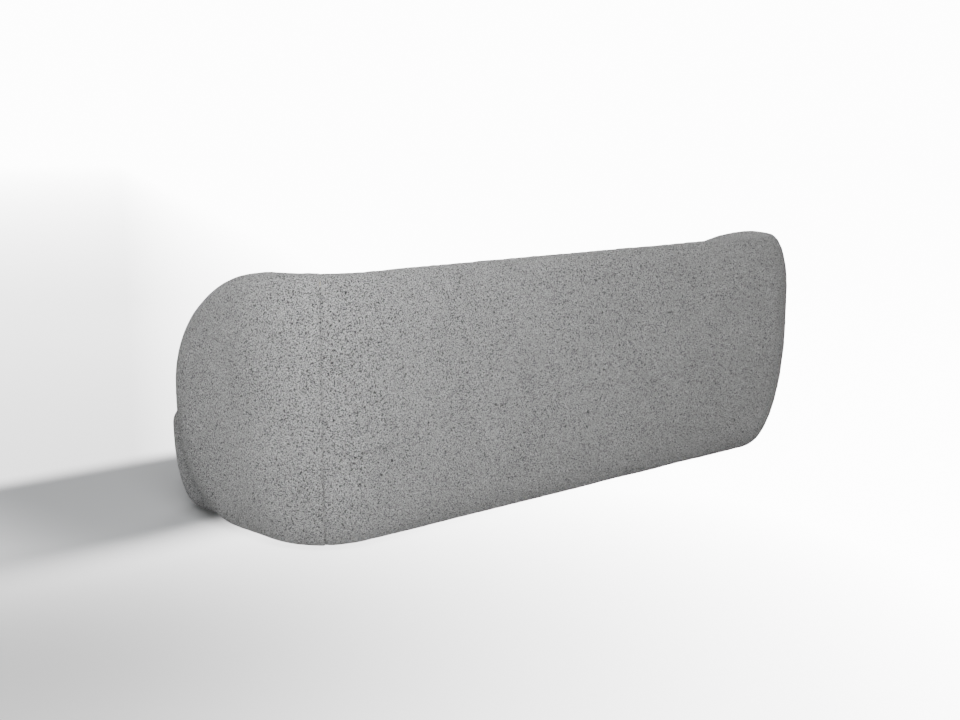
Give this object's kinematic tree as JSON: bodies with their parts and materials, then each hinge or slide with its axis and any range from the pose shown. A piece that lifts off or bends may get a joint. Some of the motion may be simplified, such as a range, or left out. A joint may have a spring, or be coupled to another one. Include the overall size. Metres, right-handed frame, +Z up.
{
  "type": "upholstered daybed sofa",
  "caption": "Low fully upholstered daybed with a back that wraps round both ends into rounded arms, a full-width base and a loose bench cushion.",
  "frame": {"origin": "middle of the footprint, on the floor", "axes": "+Z up, +X along the length, the open front faces -Y"},
  "size_m": [2.1658, 0.86, 0.731],
  "materials": {
    "boucle": "grey bouclé, soft looped pile",
    "foam": "cut polyurethane foam",
    "wadding": "polyester fibre wrap",
    "felt": "needled felt",
    "lining_cloth": "non-woven lining cloth",
    "webbing": "elastic upholstery webbing",
    "timber": "planed softwood",
    "plywood": "sanded plywood",
    "hardboard": "bending board",
    "spring_steel": "oiled spring steel",
    "zinc_steel": "zinc plated",
    "glide": "moulded black plastic",
    "zip_nylon": "nylon coil",
    "zip_metal": "lacquered die casting"
  },
  "bodies": {
    "frame": {"arm_formers_left": "plywood", "arm_formers_right": "plywood", "arm_panel_left": "plywood", "arm_panel_right": "plywood", "back_bottom_rail": "timber", "back_formers": "plywood", "back_joining_blocks": "timber", "back_top_rail": "timber", "back_webbing": "webbing", "base_back_rail": "timber", "base_cover": "boucle", "base_cross_rails": "timber", "base_ear_blocks": "timber", "base_front_rail": "timber", "base_side_rail_left": "timber", "base_side_rail_right": "timber", "bolt_washers": "zinc_steel", "border_foam": "foam", "corner_plates_left": "plywood", "corner_plates_right": "plywood", "corner_post_left": "plywood", "corner_post_right": "plywood", "deck_cloth": "lining_cloth", "deck_foam": "foam", "dust_cover": "lining_cloth", "foot_back_left": "glide", "foot_back_middle": "glide", "foot_back_right": "glide", "foot_front_left": "glide", "foot_front_middle": "glide", "foot_front_right": "glide", "foot_screws": "zinc_steel", "frame_bolts": "zinc_steel", "front_foot_blocks": "timber", "inner_cover_back": "boucle", "inner_cover_left": "boucle", "inner_cover_right": "boucle", "inner_foam_back": "foam", "inner_foam_left": "foam", "inner_foam_right": "foam", "outer_boards": "hardboard", "outer_cover_back": "boucle", "outer_cover_left": "boucle", "outer_cover_right": "boucle", "outer_foam_back": "foam", "outer_foam_left": "foam", "outer_foam_right": "foam", "seat_springs": "spring_steel", "side_joining_blocks": "timber", "spring_clips": "spring_steel", "spring_felt": "felt", "spring_tie_wires": "spring_steel", "tee_nuts": "zinc_steel"},
    "cushion": {"cushion_core": "foam", "cushion_wadding": "wadding", "cushion_top_panel": "boucle", "cushion_bottom_panel": "boucle", "cushion_border": "boucle", "zip_chain": "zip_nylon"},
    "zip_slider_body": {"zip_slider": "zip_metal"}
  },
  "joints": [
    {"name": "cushion_lift", "type": "slide", "parent": "frame", "child": "cushion", "axis": [0, 0, 1], "range_m": [0, 0.45]},
    {"name": "zip_slide", "type": "slide", "parent": "cushion", "child": "zip_slider_body", "axis": [-1, 0, 0], "range_m": [0, 1.07]}
  ]
}
